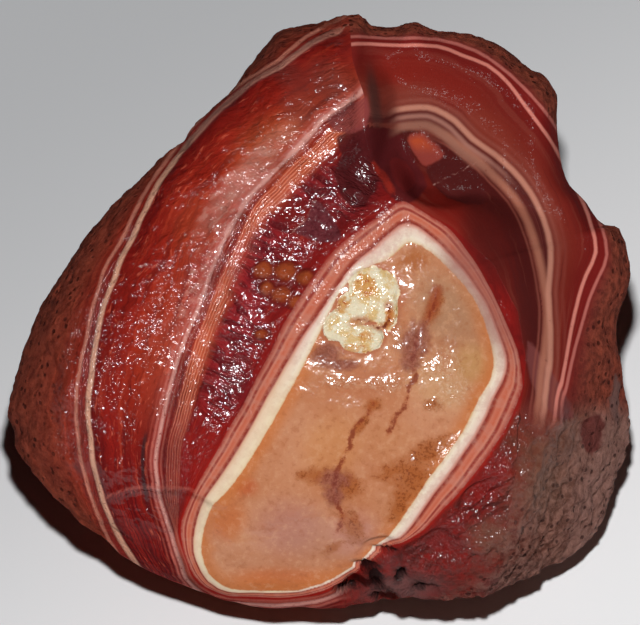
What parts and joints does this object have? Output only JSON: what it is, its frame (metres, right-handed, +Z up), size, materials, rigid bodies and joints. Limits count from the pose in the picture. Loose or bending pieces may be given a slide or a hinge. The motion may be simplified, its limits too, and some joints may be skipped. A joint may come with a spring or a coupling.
{
  "type": "agate nodule",
  "caption": "Water-worn banded agate nodule with a pale core, a broken hollow at one shoulder and a pitted husk, lying on a small flat spot.",
  "frame": {"origin": "on the ground under the middle of the stone's box", "axes": "+Z up, -Y towards the side that the worn, banded face looks to, +X to the viewer's right"},
  "size_m": [0.062, 0.054, 0.0459],
  "materials": {
    "agate": "water-worn, wet-looking deep red agate with cream, pink and salmon bands, a pale peach core and a dull pitted maroon husk"
  },
  "bodies": {
    "root": {"agate_nodule": "agate"}
  },
  "joints": []
}
